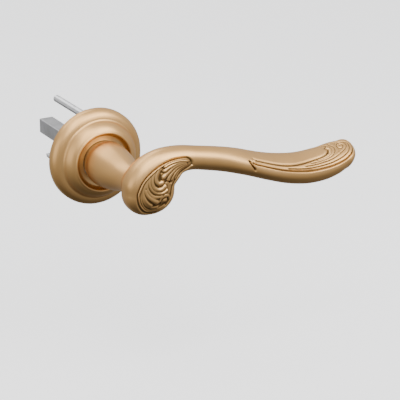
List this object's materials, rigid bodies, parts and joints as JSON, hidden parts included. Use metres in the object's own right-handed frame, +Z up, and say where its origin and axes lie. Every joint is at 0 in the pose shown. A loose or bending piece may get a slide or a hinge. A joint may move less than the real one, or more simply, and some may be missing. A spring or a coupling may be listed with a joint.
{
  "type": "door lever handle",
  "caption": "Scrolled door lever with carved leaf ends on a round two-step sprung rose, with square spindle and through-door fixings.",
  "frame": {"origin": "centre of the rose's back on the spindle's axis, in the plane of the door's face", "axes": "+Y into the door along the spindle, +X along the lever to its tip, +Z up"},
  "size_m": [0.1503, 0.1267, 0.052],
  "materials": {
    "satin_gold": "satin champagne gold",
    "zinc_casting": "bare zinc die casting",
    "zinc_plated_steel": "zinc plated",
    "spring_steel": "blackened spring steel",
    "white_nylon": "moulded nylon"
  },
  "bodies": {
    "rose": {"rose_cover": "satin_gold", "base_plate": "zinc_casting", "cassette_lid": "zinc_plated_steel", "front_bush": "white_nylon", "rear_bush": "white_nylon", "return_spring": "spring_steel", "stop_pin_rest": "spring_steel", "stop_pin_down": "spring_steel", "through_bolt_upper": "zinc_plated_steel", "through_bolt_lower": "zinc_plated_steel", "support_sleeve_upper": "zinc_plated_steel", "support_sleeve_lower": "zinc_plated_steel", "wood_screw_left": "zinc_plated_steel", "wood_screw_right": "zinc_plated_steel", "lid_screw_1": "zinc_plated_steel", "lid_screw_2": "zinc_plated_steel", "lid_screw_3": "zinc_plated_steel", "lid_screw_4": "zinc_plated_steel", "cover_ring": "spring_steel"},
    "lever": {"lever_grip": "satin_gold", "neck": "satin_gold", "spindle": "zinc_plated_steel", "grub_screw": "spring_steel", "rotor": "zinc_plated_steel", "circlip": "spring_steel", "back_washer": "zinc_plated_steel"}
  },
  "joints": [
    {"name": "lever_turn", "type": "hinge", "parent": "rose", "child": "lever", "pos_m": [0, 0, 0], "axis": [0, 1, 0], "range_deg": [0, 45], "stiffness_Nm_per_rad": 1.2, "springref_deg": -28.65, "deforming": ["return_spring"]}
  ]
}
